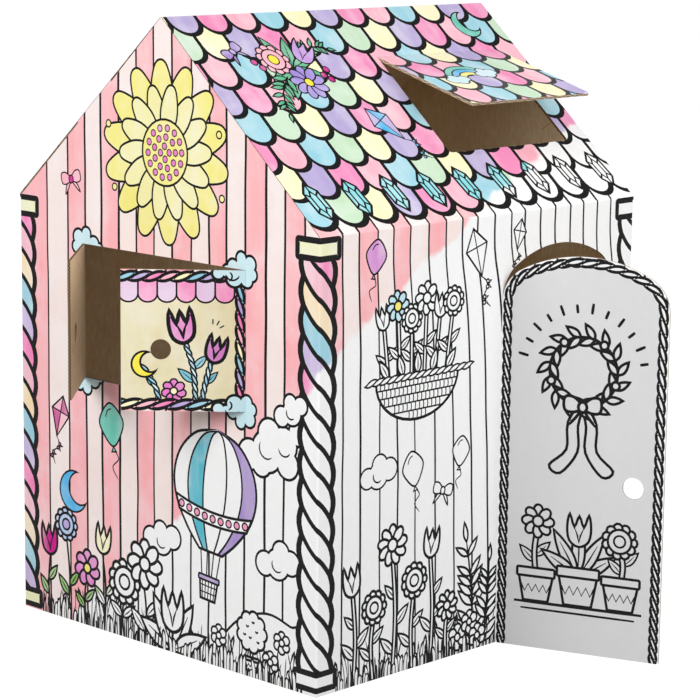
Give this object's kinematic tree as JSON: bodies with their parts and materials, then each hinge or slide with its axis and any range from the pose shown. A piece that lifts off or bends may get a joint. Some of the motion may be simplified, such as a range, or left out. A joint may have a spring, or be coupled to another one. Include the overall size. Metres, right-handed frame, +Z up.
{
  "type": "cardboard playhouse",
  "caption": "Gabled corrugated cardboard playhouse with an arched flap door, a shuttered window, a raised roof hatch and a printed, partly coloured-in storybook pattern.",
  "frame": {"origin": "on the floor, at the centre of the footprint of the four walls", "axes": "+Z up, +X along the ridge away from the window gable, -Y out of the door wall"},
  "size_m": [1.0679, 1.1544, 1.2187],
  "materials": {
    "house_board": "matte white liner, line printed and partly coloured in, brown inside",
    "door_board": "matte white liner, line printed, brown inside",
    "shutter_board": "matte white liner, coloured in cream, brown inside",
    "hatch_board": "matte white liner, printed with tiles, brown inside"
  },
  "bodies": {
    "house": {"house": "house_board"},
    "door": {"door": "door_board"},
    "right_shutter": {"right_shutter": "shutter_board"},
    "left_shutter": {"left_shutter": "shutter_board"},
    "roof_hatch": {"roof_hatch": "hatch_board"}
  },
  "joints": [
    {"name": "door_crease", "type": "hinge", "parent": "house", "child": "door", "pos_m": [0.05, -0.42, 0.39], "axis": [0, 0, -1], "range_deg": [-70, 100]},
    {"name": "right_shutter_crease", "type": "hinge", "parent": "house", "child": "right_shutter", "pos_m": [-0.45, -0.23, 0.6375], "axis": [0, 0, 1], "range_deg": [-43, 127]},
    {"name": "left_shutter_crease", "type": "hinge", "parent": "house", "child": "left_shutter", "pos_m": [-0.45, 0.23, 0.6375], "axis": [0, 0, -1], "range_deg": [-47, 123]},
    {"name": "hatch_crease", "type": "hinge", "parent": "house", "child": "roof_hatch", "pos_m": [0.207, -0.10205, 1.1301], "axis": [-1, 0, 0], "range_deg": [-25, 125]}
  ]
}
